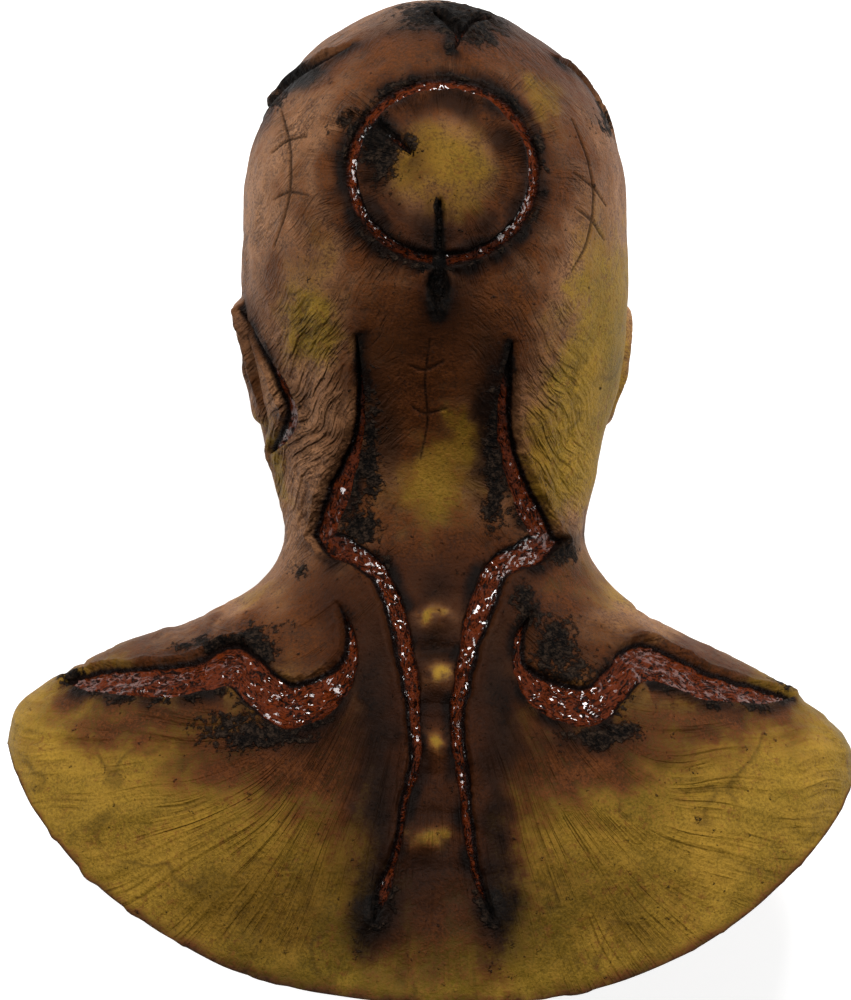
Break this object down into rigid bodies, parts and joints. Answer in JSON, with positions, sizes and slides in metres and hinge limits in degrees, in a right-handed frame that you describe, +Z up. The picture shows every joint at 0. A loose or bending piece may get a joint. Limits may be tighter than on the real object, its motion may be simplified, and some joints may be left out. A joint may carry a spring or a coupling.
{
  "type": "realistic silicone mask",
  "caption": "Hollow pull-over silicone mask of a bald head, neck and shoulder bib, with carved wound channels down the back and a plain calm face.",
  "frame": {"origin": "centre of the underside of the box round the mask as it lies face down, on the plane that the nose and the hem rest on", "axes": "+Y from the hem to the crown, +X to the right as seen from above the back, +Z up out of the back of the head"},
  "size_m": [0.376, 0.4394, 0.2225],
  "materials": {
    "silicone": "satin painted skin, mottled olive and brown, with wet dark red flesh in the wounds"
  },
  "bodies": {
    "root": {"mask_skin": "silicone"}
  },
  "joints": []
}
